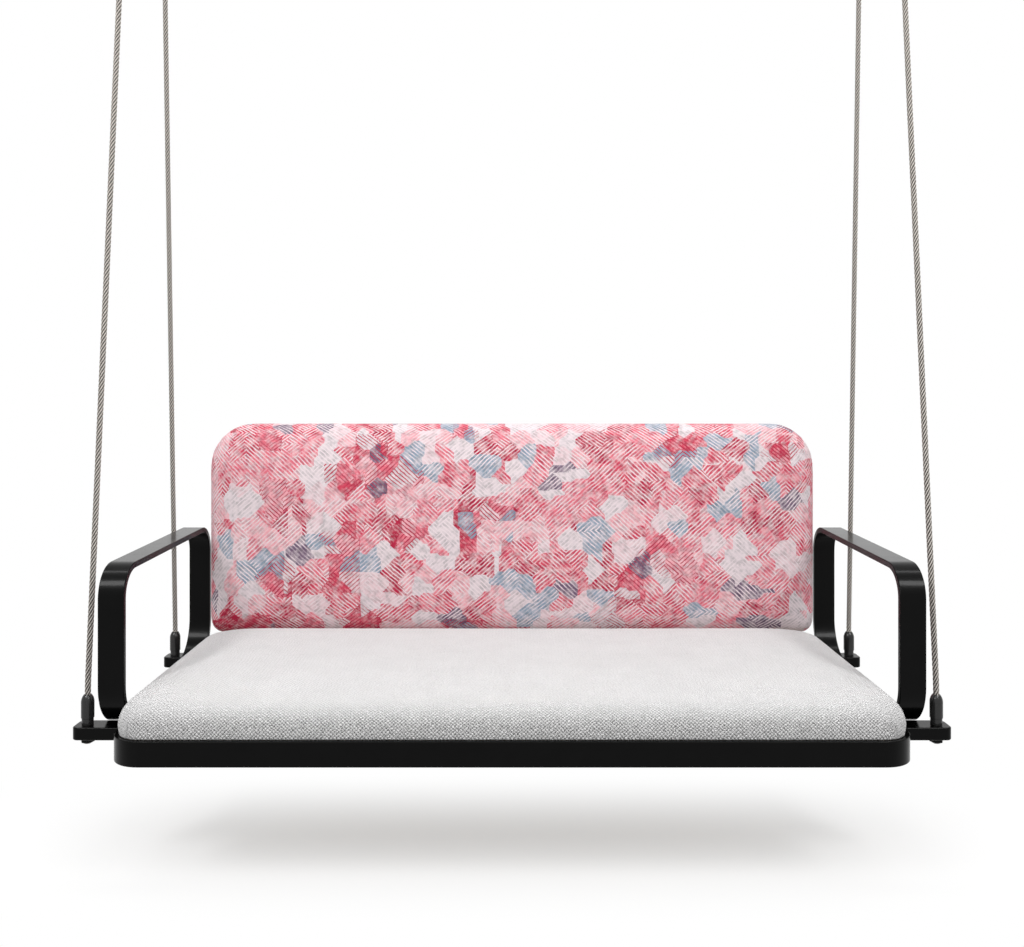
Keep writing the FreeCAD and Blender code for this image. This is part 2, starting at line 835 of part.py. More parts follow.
def fork_placement(side, end):
    """Frame of a fork: its origin on the pin, z along the rope, x along the pin."""
    bend, pin = rope_run(side, end)
    rise = (pin - bend).normalize()
    across = (X_AXIS - rise * (X_AXIS * rise)).normalize()
    return FreeCAD.Placement(pin, FreeCAD.Rotation(across, rise.cross(across), rise, "ZXY"))


def placed(shape, placement):
    """Copy of a shape made at the origin, moved into a frame."""
    copy = shape.copy()
    copy.Placement = placement.multiply(copy.Placement)
    return copy


def make_fork():
    """Fork in its own frame: a turned head, slotted for the hanger plate, on a swaged barrel."""
    radius = fork_diameter / 2
    head_foot = -(fork_reach + fork_crown)
    head = rod(Z_AXIS * head_foot, Z_AXIS, fork_diameter, radius - head_foot)
    nose = rod(X_AXIS * -radius, X_AXIS, fork_diameter, fork_diameter)
    below = block(Vector(-radius, -radius, head_foot), Vector(radius, radius, 0))
    head = head.common(nose.fuse(below))
    flat = fork_gap / 2 + fork_cheek
    for side in SIDES.values():
        near = Vector(side * flat, -radius, -fork_reach)
        far = Vector(side * (radius + cut_overrun), radius, radius)
        low = Vector(min(near.x, far.x), near.y, near.z)
        high = Vector(max(near.x, far.x), far.y, far.z)
        head = head.cut(block(low, high))
    slot = block(
        Vector(-fork_gap / 2, -radius - cut_overrun, -fork_reach),
        Vector(fork_gap / 2, radius + cut_overrun, radius + cut_overrun),
    )
    pin_hole = fork_pin_diameter + 2 * shaft_clearance
    hole = rod(X_AXIS * -fork_diameter, X_AXIS, pin_hole, 2 * fork_diameter)
    taper_foot = head_foot - fork_taper
    taper = Part.makeCone(fork_barrel_diameter / 2, radius, fork_taper, Z_AXIS * taper_foot, Z_AXIS)
    barrel_foot = taper_foot - fork_barrel_length
    barrel = rod(Z_AXIS * barrel_foot, Z_AXIS, fork_barrel_diameter, fork_barrel_length)
    socket = rod(
        Z_AXIS * (barrel_foot - cut_overrun),
        Z_AXIS,
        rope_diameter + 2 * shaft_clearance,
        fork_socket_depth + cut_overrun,
    )
    return head.cut(slot).cut(hole).fuse([taper, barrel]).cut(socket).removeSplitter()


def make_fork_pin():
    """Headed pin in the fork's frame, with a groove for its clip."""
    flat = fork_gap / 2 + fork_cheek
    shank = rod(X_AXIS * -(flat + fork_pin_tail), X_AXIS, fork_pin_diameter, 2 * flat + fork_pin_tail)
    head = rod(X_AXIS * flat, X_AXIS, fork_pin_head_diameter, fork_pin_head_height)
    groove_start = X_AXIS * -(flat + clip_gap + clip_thickness + clip_gap)
    groove_length = clip_thickness + 2 * clip_gap
    groove = rod(groove_start, X_AXIS, fork_pin_head_diameter, groove_length)
    core = rod(groove_start, X_AXIS, fork_pin_diameter - 2 * clip_groove_depth, groove_length)
    return shank.fuse(head).cut(groove).fuse(core).removeSplitter()


def make_fork_clip():
    """Open retaining ring in the fork pin's groove."""
    flat = fork_gap / 2 + fork_cheek
    start = X_AXIS * -(flat + clip_gap + clip_thickness)
    ring = rod(start, X_AXIS, clip_diameter, clip_thickness)
    bore = rod(start, X_AXIS, fork_pin_diameter - 2 * clip_groove_depth + 2 * clip_gap, clip_thickness)
    mouth = block(
        start + Vector(0, -clip_mouth / 2, -clip_diameter),
        start + Vector(clip_thickness, clip_mouth / 2, 0),
    )
    return ring.cut(bore).cut(mouth)


# Hanger plates, their pivots and the ceiling brackets

def make_hanger_plate():
    """Right hanger plate, with holes for two fork pins and the pivot bush."""
    start = hanger_x - hanger_thickness / 2
    centres = [
        Vector(start, -hanger_front_reach, fork_pin_z),
        Vector(start, hanger_rear_reach, fork_pin_z),
        Vector(start, 0, pivot_z),
    ]
    radii = [hanger_corner_radius, hanger_corner_radius, hanger_boss_radius]
    plate = filled(wire_round_circles(centres, radii), Vector(hanger_thickness, 0, 0))
    far_side = start + hanger_thickness
    borders = edges_in_plane(plate, X_AXIS, start) + edges_in_plane(plate, X_AXIS, far_side)
    plate = plate.makeFillet(hanger_edge_radius, borders)
    pin_hole = fork_pin_diameter + 2 * fork_pin_gap
    for centre, diameter in zip(centres, (pin_hole, pin_hole, bush_diameter)):
        hole = rod(centre - X_AXIS * cut_overrun, X_AXIS, diameter, hanger_thickness + 2 * cut_overrun)
        plate = plate.cut(hole)
    return plate


def make_pivot_bush():
    """Bearing sleeve pressed into the right hanger plate."""
    length = hanger_thickness + 2 * bush_side
    start = Vector(hanger_x - length / 2, 0, pivot_z)
    sleeve = rod(start, X_AXIS, bush_diameter, length)
    return sleeve.cut(rod(start, X_AXIS, pivot_diameter + 2 * shaft_clearance, length))


def make_ceiling_bracket():
    """Right bracket: a plate against the ceiling with two ears under it."""
    half_length = plate_length / 2
    half_width = plate_width / 2
    outline = flat_rectangle(
        hanger_x - half_width, hanger_x + half_width, -half_length, half_length,
        -plate_thickness, [plate_corner_radius] * 4,
    )
    plate = filled(outline, Vector(0, 0, plate_thickness))
    plate = plate.makeFillet(plate_edge_radius, edges_in_plane(plate, Z_AXIS, -plate_thickness))
    root = ear_root_width / 2 - ear_root_radius
    ears = []
    for start in (hanger_x - ear_gap / 2 - ear_thickness, hanger_x + ear_gap / 2):
        centres = [
            Vector(start, 0, pivot_z),
            Vector(start, root, -plate_thickness),
            Vector(start, -root, -plate_thickness),
        ]
        radii = [ear_radius, ear_root_radius, ear_root_radius]
        ears.append(filled(wire_round_circles(centres, radii), Vector(ear_thickness, 0, 0)))
    bracket = plate.fuse(ears)
    pin_length = ear_gap + 2 * ear_thickness
    pin_start = Vector(hanger_x - pin_length / 2 - cut_overrun, 0, pivot_z)
    pin_hole = pivot_diameter + 2 * shaft_clearance
    bracket = bracket.cut(rod(pin_start, X_AXIS, pin_hole, pin_length + 2 * cut_overrun))
    for y in (-plate_hole_spacing / 2, plate_hole_spacing / 2):
        hole_start = Vector(hanger_x, y, -plate_thickness - cut_overrun)
        bracket = bracket.cut(rod(hole_start, Z_AXIS, plate_hole_diameter, plate_thickness + 2 * cut_overrun))
    return bracket.removeSplitter()


def pivot_pin_length():
    """Pivot pin's shank: across the ears, the nut and a short tail."""
    return ear_gap + 2 * ear_thickness + pivot_nut_height + pivot_pin_tail


def make_pivot_pin():
    """Right pivot pin, with its head on the outer ear."""
    seat = Vector(hanger_x + ear_gap / 2 + ear_thickness, 0, pivot_z)
    return hex_bolt(
        seat, X_AXIS * -1, pivot_diameter, pivot_pin_length(), pivot_head_across_flats, pivot_head_height,
    )


def make_pivot_nut():
    """Nut of the right pivot pin, on the inner ear."""
    seat = Vector(hanger_x - ear_gap / 2 - ear_thickness, 0, pivot_z)
    return hex_nut(seat, X_AXIS * -1, pivot_head_across_flats, pivot_nut_height, pivot_diameter)


# The assembly: each node is one piece, or a group of like fasteners

def with_mirrors(shapes):
    """Pieces of the right side and their mirror images."""
    return [copy for shape in shapes for copy in on_both_sides(shape)]


def build_nodes():
    nodes = {
        "seat_rim": [make_seat_rim()],
        "seat_deck": [make_deck()],
        "deck_screws": deck_screws(0),
        "seat_foam": [make_seat_foam()],
        "seat_cover": [make_seat_cover()],
        "back_foam": [make_back_foam()],
        "back_cover": [make_back_cover()],
        "back_board": [make_back_board()],
        "arm_bolts": with_mirrors(arm_bolts()),
        "arm_nuts": with_mirrors(arm_nuts()),
        "upright_bolts": with_mirrors(upright_bolts()),
        "upright_nuts": with_mirrors(upright_nuts()),
        "board_bolts": with_mirrors(board_bolts()),
        "pivot_nuts": with_mirrors([make_pivot_nut()]),
        "terminal_washers": [],
        "terminal_nuts": [],
        "fork_pins": [],
        "fork_clips": [],
    }
    right_pieces = {
        "arm": make_arm(),
        "back_upright": make_upright(),
        "hanger_plate": make_hanger_plate(),
        "pivot_bush": make_pivot_bush(),
        "ceiling_bracket": make_ceiling_bracket(),
        "pivot_pin": make_pivot_pin(),
    }
    for end in ENDS:
        nodes[end + "_beam"] = [make_beam(end)]
        right_pieces["beam_end_" + end] = make_beam_end(end)
    for name, piece in right_pieces.items():
        nodes[name + "_right"] = [piece]
        nodes[name + "_left"] = [mirrored(piece)]
    fork = make_fork()
    fork_pin = make_fork_pin()
    fork_clip = make_fork_clip()
    for end in ENDS:
        for side_name, side in SIDES.items():
            corner = "_%s_%s" % (end, side_name)
            x = terminal_x * side
            y = beam_y[end]
            placement = fork_placement(side, end)
            nodes["rope" + corner] = [make_rope(side, end)]
            nodes["rope_terminal" + corner] = [make_terminal(x, y)]
            nodes["rope_fork" + corner] = [placed(fork, placement)]
            nodes["terminal_washers"].append(make_terminal_washer(x, y))
            nodes["terminal_nuts"].append(make_terminal_nut(x, y))
            nodes["fork_pins"].append(placed(fork_pin, placement))
            nodes["fork_clips"].append(placed(fork_clip, placement))
    return nodes


def main():
    os.makedirs("parts", exist_ok=True)
    for name, solids in sorted(build_nodes().items()):
        shape = solids[0] if len(solids) == 1 else Part.makeCompound(solids)
        print("%-24s solids %d valid %s" % (name, len(shape.Solids), shape.isValid()))
        shape.exportStep("parts/%s.step" % name)


main()
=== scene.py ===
"""Looks of a bench swing seat on wire ropes: cushions, ropes, finishes, light and camera.

Units are metres.
"""
import json
import math

import bmesh
import bpy
import numpy
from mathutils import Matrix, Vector


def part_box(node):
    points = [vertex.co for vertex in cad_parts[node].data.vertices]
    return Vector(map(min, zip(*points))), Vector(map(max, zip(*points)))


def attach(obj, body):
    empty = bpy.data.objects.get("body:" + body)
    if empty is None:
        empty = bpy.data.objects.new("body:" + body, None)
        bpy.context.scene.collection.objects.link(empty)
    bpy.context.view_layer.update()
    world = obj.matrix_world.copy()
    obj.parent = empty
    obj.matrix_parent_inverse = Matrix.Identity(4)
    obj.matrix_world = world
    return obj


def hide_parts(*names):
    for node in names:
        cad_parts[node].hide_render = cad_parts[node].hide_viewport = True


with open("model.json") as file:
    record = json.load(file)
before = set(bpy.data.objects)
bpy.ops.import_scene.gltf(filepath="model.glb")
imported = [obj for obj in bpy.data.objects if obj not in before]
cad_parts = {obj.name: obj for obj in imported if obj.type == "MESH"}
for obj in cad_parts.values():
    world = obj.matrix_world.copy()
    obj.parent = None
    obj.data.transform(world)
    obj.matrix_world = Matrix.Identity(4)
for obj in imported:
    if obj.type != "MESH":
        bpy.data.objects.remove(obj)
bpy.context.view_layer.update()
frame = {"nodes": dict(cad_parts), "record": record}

# The photograph's frame, in its own pixels
image_width = 1024
image_height = 947
focal_pixels = 1000
horizon_row = 390
sensor_width = 36.0

# Camera and floor, from the seat rim
camera_ahead = 1.466
camera_above = 0.516
floor_below = 0.262
floor_half = 30.0
shadow_half_width = 1.20
shadow_half_depth = 0.290
shadow_ahead = 0.014

# Light
white = (1, 1, 1, 1)
world_strength = 0.45
floor_shade = (0.49, 0.49, 0.49, 1)
floor_glow = 0.51
side_lamp = {"target": (0, -0.1, -1.35), "size": (0.36, 0.58), "power": 18.0}
lamps = {
    "top_light": {"place": (0, 0.05, 3.0), "target": (0, -0.10, -1.45), "size": (6.4, 0.48), "power": 114.0},
    "side_light_left": {"place": (-1.46, -1.66, 0.30), **side_lamp},
    "side_light_right": {"place": (1.46, -1.66, 0.30), **side_lamp},
    "front_light": {"place": (0, -2.0, 0.3), "target": (0, 0.1, -1.2), "size": (4.0, 0.80), "power": 19.0},
}

# Fastenings that are painted over with what they hold
painted_nodes = ("terminal_nuts", "terminal_washers")

# Ropes
rope_diameter = 0.0095
rope_strands = 6
strand_steps = 8
rope_lay = 0.046
rope_ring_step = 0.0030
route_resolution = 32
rope_routes = {
    "front": (
        (0.66840, -0.24410, -1.47000),
        (0.66840, -0.24410, -1.43800),
        (0.66821, -0.24015, -1.39820),
        (0.66222, -0.11765, -0.16478),
    ),
    "rear": (
        (0.66840, 0.16490, -1.47000),
        (0.66840, 0.16490, -1.43800),
        (0.66821, 0.16246, -1.39808),
        (0.66222, 0.08705, -0.16492),
    ),
}

# Cushions, as shares of their height or depth and of the run over which they are drawn in
seat_crown_run = 0.150
seat_rear_run = 0.048
seat_radius = 0.043
seat_profile_shares = (
    (0.00, 0.012),
    (0.13, 0.004),
    (0.25, 0.000),
    (0.44, 0.008),
    (0.60, 0.030),
    (0.73, 0.067),
    (0.82, 0.120),
    (0.88, 0.210),
    (0.93, 0.380),
    (0.97, 0.660),
    (1.00, 1.000),
)
back_crown_run = 0.120
back_top_radius = 0.085
back_bottom_radius = 0.026
back_profile_shares = (
    (0.000, 1.000),
    (0.035, 0.600),
    (0.090, 0.300),
    (0.170, 0.130),
    (0.280, 0.045),
    (0.420, 0.008),
    (0.520, 0.000),
    (0.660, 0.008),
    (0.820, 0.040),
    (0.930, 0.080),
    (1.000, 0.130),
)
corner_steps = 10
voxel = 0.008
smoothing_rounds = 4
remesh_loss = 0.0008
face_share = 0.30
swell_cap = 0.005
swell_frames = 18
swell_rounds = 60
cloth_pressure = 4.0

# The back cover's hem, turned over the board's rear and stapled
hem_width = 0.036
hem_thickness = 0.0012
hem_tuck = 0.004
hem_notch_margin = 0.003
hem_step = 0.0075
staple_pitch = 0.060
staple_length = 0.010
staple_width = 0.0012
staple_rise = 0.0007

SIDES = {"left": -1, "right": 1}

rim_low, rim_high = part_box("seat_rim")
seat_low, seat_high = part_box("seat_cover")
back_low, back_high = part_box("back_cover")
board_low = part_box("back_board")[0]


class Nodes:
    """A node tree and short ways to add to it."""

    def __init__(self, tree):
        self.tree = tree

    def add(self, kind, inputs=None, **settings):
        """Add a node; inputs are values or other nodes' outputs."""
        node = self.tree.nodes.new("ShaderNode" + kind)
        for key, value in settings.items():
            setattr(node, key, value)
        for key, value in (inputs or {}).items():
            self.put(node.inputs[key], value)
        return node

    def put(self, socket, value):
        """Set a socket, or link an output to it."""
        if isinstance(value, bpy.types.NodeSocket):
            self.tree.links.new(value, socket)
        else:
            socket.default_value = value

    def math(self, operation, *values):
        """Result of one sum on numbers or outputs."""
        return self.add("Math", dict(enumerate(values)), operation=operation).outputs[0]

    def vector_math(self, operation, *values):
        """Result of one sum on vectors."""
        return self.add("VectorMath", dict(enumerate(values)), operation=operation).outputs[0]

    def uv(self, layer):
        """Places on the cloth or rope, from a UV layer."""
        return self.add("UVMap", uv_map=layer).outputs["UV"]

    def split(self, vector):
        """The x and y of a vector."""
        parts = self.add("SeparateXYZ", {"Vector": vector})
        return parts.outputs["X"], parts.outputs["Y"]

    def wave(self, value):
        """Up from 0 to 1 and down again over each whole step of a value."""
        return self.math("MULTIPLY", self.math("PINGPONG", value, 0.5), 2.0)

    def ramp(self, factor, stops, interpolation="LINEAR"):
        """Colour ramp through (place, colour) stops."""
        node = self.add("ValToRGB", {"Fac": factor})
        ramp = node.color_ramp
        ramp.interpolation = interpolation
        while len(ramp.elements) < len(stops):
            ramp.elements.new(0.5)
        for element, (place, colour) in zip(ramp.elements, stops):
            element.position = place
            element.color = (*colour, 1)
        return node.outputs["Color"]

    def mix(self, factor, first, second, blend="MIX"):
        """Two colours mixed by a factor."""
        node = self.add("Mix", {"Factor": factor}, data_type="RGBA", blend_type=blend)
        self.put(node.inputs[6], first)
        self.put(node.inputs[7], second)
        return node.outputs[2]

    def choose(self, factor, first, second):
        """Two numbers mixed by a factor."""
        node = self.add("Mix", {"Factor": factor}, data_type="FLOAT")
        self.put(node.inputs[2], first)
        self.put(node.inputs[3], second)
        return node.outputs[0]

    def noise(self, scale, detail=3.0, roughness=0.5, vector=None):
        """Noise of so many blobs to the metre, in the piece's own frame or along a vector."""
        place = vector or self.add("TexCoord").outputs["Object"]
        inputs = {"Vector": place, "Scale": scale, "Detail": detail, "Roughness": roughness}
        return self.add("TexNoise", inputs).outputs["Fac"]

    def wander(self, vector, scale, reach):
        """A vector moved about by up to half a reach, in so many blobs to the metre."""
        drift = self.add("TexNoise", {"Vector": vector, "Scale": scale, "Detail": 2.0}).outputs["Color"]
        centred = self.vector_math("SUBTRACT", drift, grey(0.5))
        return self.vector_math("ADD", vector, self.vector_math("MULTIPLY", centred, (reach, reach, 0)))

    def show(self, output, shader):
        """Make a shader the one that the named output node shows."""
        self.put(self.tree.nodes[output].inputs["Surface"], shader)


class Surface(Nodes):
    """A material and short ways to finish it."""

    def __init__(self, name):
        self.material = bpy.data.materials.new(name)
        self.material.use_nodes = True
        super().__init__(self.material.node_tree)
        self.shader = self.tree.nodes["Principled BSDF"]

    def bump(self, height, distance):
        """Bump of a real depth on the shader's normal."""
        normal = self.add("Bump", {"Height": height, "Distance": distance}).outputs["Normal"]
        self.put(self.shader.inputs["Normal"], normal)

    def set(self, **inputs):
        """Set the shader's own sockets; underscores stand for spaces."""
        for key, value in inputs.items():
            self.put(self.shader.inputs[key.replace("_", " ")], value)
        return self.material


def grey(level):
    """A colour without hue, or a vector of equal parts."""
    return (level, level, level)


def screen(red, green, blue):
    """Linear colour of a screen colour from 0 to 255."""
    return tuple(((value / 255 + 0.055) / 1.055) ** 2.4 for value in (red, green, blue))


# Finishes; each scale is in blobs to the metre

def black_paint():
    """Satin powder coat: near black, a fine grain and slightly uneven gloss under a thin clear coat."""
    patch_scale = 35.0
    grain_scale = 1400.0
    grain_depth = 0.00003
    least_rough = 0.28
    rough_spread = 0.08
    look = Surface("black_paint")
    patch = look.noise(patch_scale)
    look.bump(look.noise(grain_scale, 2.0), grain_depth)
    colour = look.ramp(patch, ((0.3, grey(0.0006)), (0.7, grey(0.0012))))
    rough = look.math("MULTIPLY_ADD", patch, rough_spread, least_rough)
    return look.set(
        Base_Color=colour, Roughness=rough, Specular_IOR_Level=0.065,
        Coat_Weight=0.9, Coat_IOR=1.1, Coat_Roughness=0.10,
    )


def dark_steel():
    """Blackened steel with fine turned grain."""
    grain_scale = 1900.0
    grain_depth = 0.00005
    look = Surface("dark_steel")
    grain = look.noise(grain_scale)
    look.bump(grain, grain_depth)
    colour = look.ramp(grain, ((0.3, grey(0.014)), (0.75, grey(0.040))))
    return look.set(Base_Color=colour, Metallic=0.35, Roughness=0.18, Specular_IOR_Level=0.35)


def zinc_steel():
    """Zinc plated steel, lightly clouded."""
    cloud_scale = 240.0
    grain_scale = 2400.0
    grain_depth = 0.00003
    least_rough = 0.22
    rough_spread = 0.25
    look = Surface("zinc_steel")
    cloud = look.noise(cloud_scale)
    look.bump(look.noise(grain_scale, 2.0), grain_depth)
    colour = look.ramp(cloud, ((0.3, (0.40, 0.41, 0.42)), (0.7, (0.56, 0.56, 0.55))))
    rough = look.math("MULTIPLY_ADD", cloud, rough_spread, least_rough)
    return look.set(Base_Color=colour, Metallic=1.0, Roughness=rough)


def black_steel():
    """Black oxide screws."""
    grain_scale = 1500.0
    grain_depth = 0.00003
    look = Surface("black_steel")
    grain = look.noise(grain_scale)
    look.bump(grain, grain_depth)
    colour = look.ramp(grain, ((0.3, grey(0.012)), (0.7, grey(0.03))))
    return look.set(Base_Color=colour, Metallic=0.6, Roughness=0.42)


def wire_rope():
    """Drawn steel wires, with painted shade in the creases between strands and between wires, and a painted
    highlight along each strand's crown.
    """
    wires_across = 5.0
    wire_turns = 9.0
    wire_depth = 0.00022
    look = Surface("wire_rope")
    across, along = look.split(look.uv("lay"))
    strand_round = look.wave(across)
    wires = look.math("MULTIPLY_ADD", across, wires_across, look.math("MULTIPLY", along, wire_turns))
    wire_round = look.wave(wires)
    look.bump(wire_round, wire_depth)
    # Painted shade and highlight: each strand dark at its edges and near white along its crown
    shade = look.ramp(strand_round, (
        (0.0, screen(8, 8, 7)), (0.40, screen(98, 93, 89)), (1.0, screen(236, 229, 221)),
    ))
    # Painted shade in the hollows between wires
    painted_wire_shade = look.ramp(wire_round, ((0.0, grey(0.30)), (0.45, grey(1.0))))
    colour = look.mix(1.0, shade, painted_wire_shade, "MULTIPLY")
    return look.set(Base_Color=colour, Metallic=0.25, Roughness=0.5, Specular_IOR_Level=0.25)


def plywood():
    """Birch plywood with long grain."""
    grain_scales = (3.0, 60.0, 60.0)
    pores_to_grain = 9.0
    pore_depth = 0.0002
    look = Surface("plywood")
    place = look.add("TexCoord").outputs["Object"]
    stretched = look.add("Mapping", {"Vector": place, "Scale": grain_scales}).outputs["Vector"]
    grain = look.noise(1.0, 6.0, 0.6, stretched)
    pores = look.noise(pores_to_grain, 3.0, 0.6, stretched)
    colour = look.ramp(grain, (
        (0.25, (0.42, 0.28, 0.16)), (0.5, (0.58, 0.43, 0.27)), (0.8, (0.68, 0.53, 0.36)),
    ))
    dark = look.ramp(pores, ((0.35, grey(0.75)), (0.5, grey(1.0))))
    look.bump(pores, pore_depth)
    return look.set(Base_Color=look.mix(1.0, colour, dark, "MULTIPLY"), Roughness=0.62)


def bronze():
    """Oiled bearing bronze."""
    cloud_scale = 300.0
    look = Surface("bronze")
    cloud = look.noise(cloud_scale)
    colour = look.ramp(cloud, ((0.3, (0.36, 0.22, 0.09)), (0.7, (0.52, 0.34, 0.15))))
    return look.set(Base_Color=colour, Metallic=1.0, Roughness=0.35)


def seat_fabric():
    """Pale grey weave of thick yarns that run aslant, with painted shade in the hollows between yarns, full
    where the cover faces forward and faint on the top.
    """
    yarn = 0.0041
    yarn_slant = math.radians(45)
    yarn_depth = 0.0020
    drift_scale = 90.0
    drift_reach = 0.0026
    tremble_scale = 300.0
    tremble_reach = 0.0042
    least_crown = 0.4
    crown_spread = 0.6
    cloud_scale = 22.0

    look = Surface("seat_fabric")
    drifted = look.wander(look.uv("cloth"), drift_scale, drift_reach)
    cloth = look.wander(drifted, tremble_scale, tremble_reach)
    inputs = {"Vector": cloth, "Rotation": (0, 0, yarn_slant), "Scale": (1 / yarn, 1 / yarn, 1)}
    across, along = look.split(look.add("Mapping", inputs).outputs["Vector"])
    cell = look.math("ADD", look.math("FLOOR", across), look.math("FLOOR", along))
    warp = look.math("FLOORED_MODULO", cell, 2.0)
    across_round = look.wave(across)
    along_round = look.wave(along)
    side = look.choose(warp, across_round, along_round)
    length_round = look.choose(warp, along_round, across_round)
    crown = look.math("MULTIPLY_ADD", length_round, crown_spread, least_crown)
    height = look.math("MULTIPLY", side, crown)
    look.bump(height, yarn_depth)

    # Painted shade: the hollows between yarns darkened as if in their own shadow
    painted_gap_shade = look.ramp(height, ((0.0, grey(0.03)), (0.12, grey(0.28)), (0.28, grey(0.80)), (0.44, grey(1.0))))
    # Painted shade: the hollow shade is full where the cover faces forward and weak on the top, where it
    # looks lighter
    rearward = look.split(look.add("TexCoord").outputs["Normal"])[1]
    ahead = look.math("MULTIPLY", rearward, -1.0)
    painted_shade_by_facing = look.ramp(ahead, ((0.63, grey(0.28)), (0.90, grey(0.64)), (1.0, grey(1.0))))
    shade = look.mix(painted_shade_by_facing, white, painted_gap_shade)
    cloud = look.ramp(look.noise(cloud_scale), ((0.3, screen(228, 227, 227)), (0.7, screen(234, 233, 233))))
    colour = look.mix(1.0, cloud, shade, "MULTIPLY")
    return look.set(
        Base_Color=colour, Roughness=0.9, Specular_IOR_Level=0.2, Sheen_Weight=0.6, Sheen_Roughness=0.5,
    )


def shards(look, place, size):
    """Random numbers, as outputs named by colour, that change from one angular shard to the next."""
    inputs = {"Vector": place, "Scale": 1 / size}
    cells = look.add("TexVoronoi", inputs, voronoi_dimensions="2D", distance="MANHATTAN")
    return look.add("SeparateColor", {"Color": cells.outputs["Color"]}).outputs


def printed_shards(look, brushed, cloth, paper):
    """The print's washes: small shards and some whole large ones, bleached and pooled like water colour."""
    small_shard = 0.037
    large_shard = 0.062
    whole_above = 0.82
    bloom_scale = 60.0
    pool_scale = 80.0
    pool_share = 0.8
    inks = (
        (0.00, screen(230, 216, 220)),
        (0.15, screen(234, 118, 135)),
        (0.37, screen(242, 174, 183)),
        (0.50, screen(220, 78, 101)),
        (0.69, screen(236, 208, 213)),
        (0.79, screen(148, 165, 184)),
        (0.87, screen(198, 42, 74)),
        (0.96, screen(118, 94, 119)),
    )
    small = shards(look, brushed, small_shard)
    large = shards(look, brushed, large_shard)
    whole = look.math("GREATER_THAN", large["Green"], whole_above)
    small_wash = look.ramp(small["Red"], inks, "CONSTANT")
    large_wash = look.ramp(large["Red"], inks, "CONSTANT")
    wash = look.mix(whole, small_wash, large_wash)
    bloom = look.noise(bloom_scale, 5.0, 0.68, cloth)
    wet = look.mix(look.ramp(bloom, ((0.44, grey(0.0)), (0.66, grey(0.65)))), wash, paper)
    pool = look.ramp(look.noise(pool_scale, 4.0, 0.6, cloth), ((0.36, grey(0.62)), (0.56, grey(1.0))))
    return look.mix(pool_share, wet, pool, "MULTIPLY"), small, large


def hatching(look, brushed, leftward):
    """Slanting brush strokes, mirrored where leftward is one."""
    pitch = 0.0064
    slant = math.radians(42)
    across, up = look.split(brushed)
    level = look.math("MULTIPLY", up, math.cos(slant) / pitch)
    lean = look.math("MULTIPLY", across, math.sin(slant) / pitch)
    own_lean = look.choose(leftward, lean, look.math("MULTIPLY", lean, -1.0))
    hatch = look.wave(look.math("ADD", level, own_lean))
    return look.ramp(hatch, ((0.58, grey(0.0)), (0.70, grey(1.0))))


def back_fabric():
    """Printed cotton: scattered shards in reds and greys, hatched and mottled like water colour."""
    drift_scale = 40.0
    drift_reach = 0.004
    tremble_scale = 240.0
    tremble_reach = 0.0020
    leftward_above = 0.5
    crimson_above = 0.74
    strength_scale = 26.0
    thread = 0.0010
    thread_depth = 0.0003
    paper = (*screen(243, 229, 232), 1)
    crimson = (*screen(186, 44, 72), 1)

    look = Surface("back_fabric")
    cloth = look.uv("cloth")
    brushed = look.wander(look.wander(cloth, drift_scale, drift_reach), tremble_scale, tremble_reach)
    stained, small, large = printed_shards(look, brushed, cloth, paper)
    strokes = hatching(look, brushed, look.math("GREATER_THAN", small["Green"], leftward_above))
    patches = look.noise(strength_scale, 3.0, 0.6, cloth)
    strength = look.ramp(patches, ((0.38, grey(0.25)), (0.56, grey(0.95))))
    ink = look.mix(look.math("GREATER_THAN", large["Blue"], crimson_above), paper, crimson)
    colour = look.mix(look.mix(1.0, strokes, strength, "MULTIPLY"), stained, ink)

    threads = look.add("Mapping", {"Vector": cloth, "Scale": (1 / thread, 1 / thread, 1)}).outputs["Vector"]
    across, along = look.split(threads)
    look.bump(look.math("MULTIPLY", look.wave(across), look.wave(along)), thread_depth)
    return look.set(Base_Color=colour, Roughness=0.88, Specular_IOR_Level=0.2)


# Meshes

def new_mesh(name, points, faces):
    """Mesh object from points and faces, smooth shaded, linked to the scene."""
    mesh = bpy.data.meshes.new(name)
    mesh.from_pydata(points, [], faces)
    mesh.shade_smooth()
    piece = bpy.data.objects.new(name, mesh)
    bpy.context.scene.collection.objects.link(piece)
    return piece


def ring_faces(first, second, count, skipped=()):
    """Faces between two closed rings of points, without those at the skipped places."""
    faces = []
    for spot in range(count):
        following = (spot + 1) % count
        if spot not in skipped:
            faces.append((first + spot, first + following, second + following, second + spot))
    return faces


def skin(rings):
    """Points and faces of a closed skin through rings of as many points each, capped at both ends."""
    count = len(rings[0])
    points = [point for ring in rings for point in ring]
    faces = []
    for ring in range(len(rings) - 1):
        faces += ring_faces(ring * count, (ring + 1) * count, count)
    faces.append(tuple(reversed(range(count))))
    last = (len(rings) - 1) * count
    faces.append(tuple(range(last, last + count)))
    return points, faces


def ring_points(half_width, low, high, radii, step):
    """Rounded rectangle as (across, up) points, from the lower left corner round.

    The sides are divided into as many parts as a step divides the seat's sides.
    """
    quarter = math.pi / 2
    corners = (
        (-half_width + radii[0], low + radii[0], 2 * quarter, radii[0]),
        (half_width - radii[1], low + radii[1], 3 * quarter, radii[1]),
        (half_width - radii[2], high - radii[2], 0, radii[2]),
        (-half_width + radii[3], high - radii[3], quarter, radii[3]),
    )
    arcs = []
    for across, up, start, radius in corners:
        arc = []
        for number in range(corner_steps + 1):
            turn = start + quarter * number / corner_steps
            arc.append(Vector((across + radius * math.cos(turn), up + radius * math.sin(turn))))
        arcs.append(arc)
    long_parts = round(2 * (seat_high.x - seat_radius) / step)
    short_parts = round((seat_high.y - seat_low.y) / step)
    points = []
    for index, arc in enumerate(arcs):
        points += arc
        parts = (long_parts, short_parts)[index % 2]
        following = arcs[(index + 1) % len(arcs)][0]
        points += [arc[-1].lerp(following, part / parts) for part in range(1, parts)]
    return points


# Ropes

